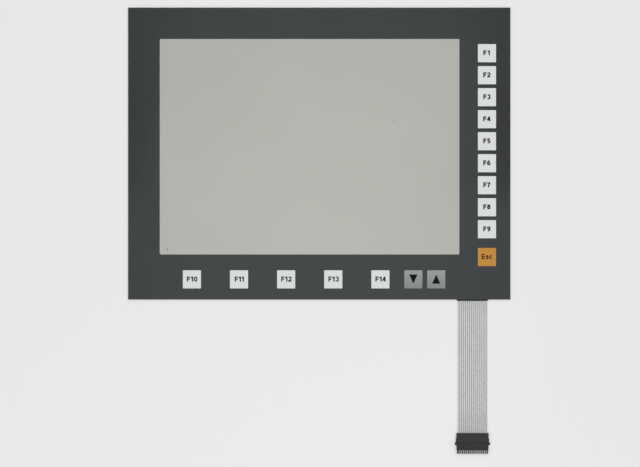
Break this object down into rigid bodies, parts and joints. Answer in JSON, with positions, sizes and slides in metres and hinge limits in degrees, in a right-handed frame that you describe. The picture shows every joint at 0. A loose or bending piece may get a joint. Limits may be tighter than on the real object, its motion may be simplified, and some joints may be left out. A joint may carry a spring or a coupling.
{
  "type": "membrane keypad",
  "caption": "Flat laminated membrane keypad with a large display window, a column and a row of raised film keys, and a film tail that ends in a clamped socket connector.",
  "frame": {"origin": "middle of the panel, on the back of the release liner that it lies on", "axes": "+Z out of the printed face, +Y to the panel's top edge and away from the tail, +X to the key column at the right when seen from the face"},
  "size_m": [0.4686, 0.5468, 0.0032],
  "materials": {
    "liner_paper": "smooth coated paper",
    "adhesive": "clear pressure-sensitive adhesive",
    "circuit_film": "clear polyester film",
    "spacer_film": "black polyester spacer",
    "retainer_film": "clear polyester film",
    "dome_steel": "stamped spring steel",
    "printed_face_film": "fine matte texture over dark grey print",
    "window_film": "fine matte clear film over the pale liner",
    "white_key_print": "matte white print",
    "orange_key_print": "matte orange print",
    "grey_key_print": "matte mid grey print",
    "legend_print": "matte black print",
    "conductor_ink": "printed silver ink",
    "black_moulding": "moulded black plastic",
    "plated_contact": "tin plated spring alloy"
  },
  "bodies": {
    "root": {"release_liner": "liner_paper", "rear_adhesive": "adhesive", "circuit_film": "circuit_film", "dome_spacer": "spacer_film", "dome_retainer": "retainer_film", "face_adhesive": "adhesive", "graphic_overlay": "printed_face_film", "connector_housing": "black_moulding", "connector_cover": "black_moulding", "dome_f1": "dome_steel", "dome_f2": "dome_steel", "dome_f3": "dome_steel", "dome_f4": "dome_steel", "dome_f5": "dome_steel", "dome_f6": "dome_steel", "dome_f7": "dome_steel", "dome_f8": "dome_steel", "dome_f9": "dome_steel", "dome_f10": "dome_steel", "dome_f11": "dome_steel", "dome_f12": "dome_steel", "dome_f13": "dome_steel", "dome_f14": "dome_steel", "dome_esc": "dome_steel", "dome_down": "dome_steel", "dome_up": "dome_steel", "contact_1": "plated_contact", "contact_2": "plated_contact", "contact_3": "plated_contact", "contact_4": "plated_contact", "contact_5": "plated_contact", "contact_6": "plated_contact", "contact_7": "plated_contact", "contact_8": "plated_contact", "contact_9": "plated_contact", "contact_10": "plated_contact", "contact_11": "plated_contact", "contact_12": "plated_contact", "contact_13": "plated_contact", "contact_14": "plated_contact"}
  },
  "joints": []
}
